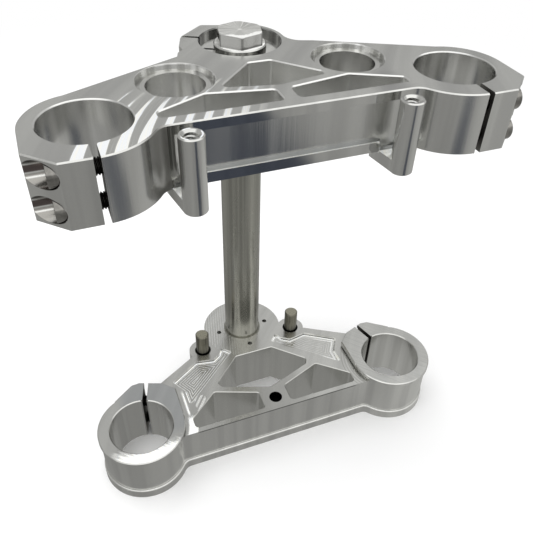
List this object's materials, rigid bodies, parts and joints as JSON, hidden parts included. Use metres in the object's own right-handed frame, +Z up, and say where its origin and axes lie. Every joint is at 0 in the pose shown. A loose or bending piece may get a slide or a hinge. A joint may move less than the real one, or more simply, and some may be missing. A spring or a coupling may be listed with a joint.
{
  "type": "motorcycle triple clamp",
  "caption": "Fork clamp set for a motorcycle: split upper and lower yokes of machined aluminium with lightening pockets, joined by a steel steering stem.",
  "frame": {"origin": "on the steering axis at the underside of the lower yoke, where the part stands", "axes": "+Z up along the steering axis, -Y forward towards the fork tubes, X across the forks"},
  "size_m": [0.2418, 0.1288, 0.2631],
  "materials": {
    "upper_aluminium": "bright machined, with a fine milled grain on the flat faces",
    "lower_aluminium": "machined, slightly duller, with cutter marks",
    "stem_steel": "turned bare steel",
    "bolt_steel": "turned and polished steel",
    "pin_steel": "ground steel",
    "screw_steel": "bright steel with dark threads"
  },
  "bodies": {
    "root": {"top_yoke": "upper_aluminium", "bottom_yoke": "lower_aluminium", "steering_stem": "stem_steel", "stem_bolt": "bolt_steel", "stop_pin_left": "pin_steel", "stop_pin_right": "pin_steel", "upper_clamp_screw_left_high": "screw_steel", "upper_clamp_screw_left_low": "screw_steel", "upper_clamp_screw_right_high": "screw_steel", "upper_clamp_screw_right_low": "screw_steel", "lower_clamp_screw_left_high": "screw_steel", "lower_clamp_screw_left_low": "screw_steel", "lower_clamp_screw_right_high": "screw_steel", "lower_clamp_screw_right_low": "screw_steel", "stem_clamp_screw": "screw_steel"}
  },
  "joints": []
}
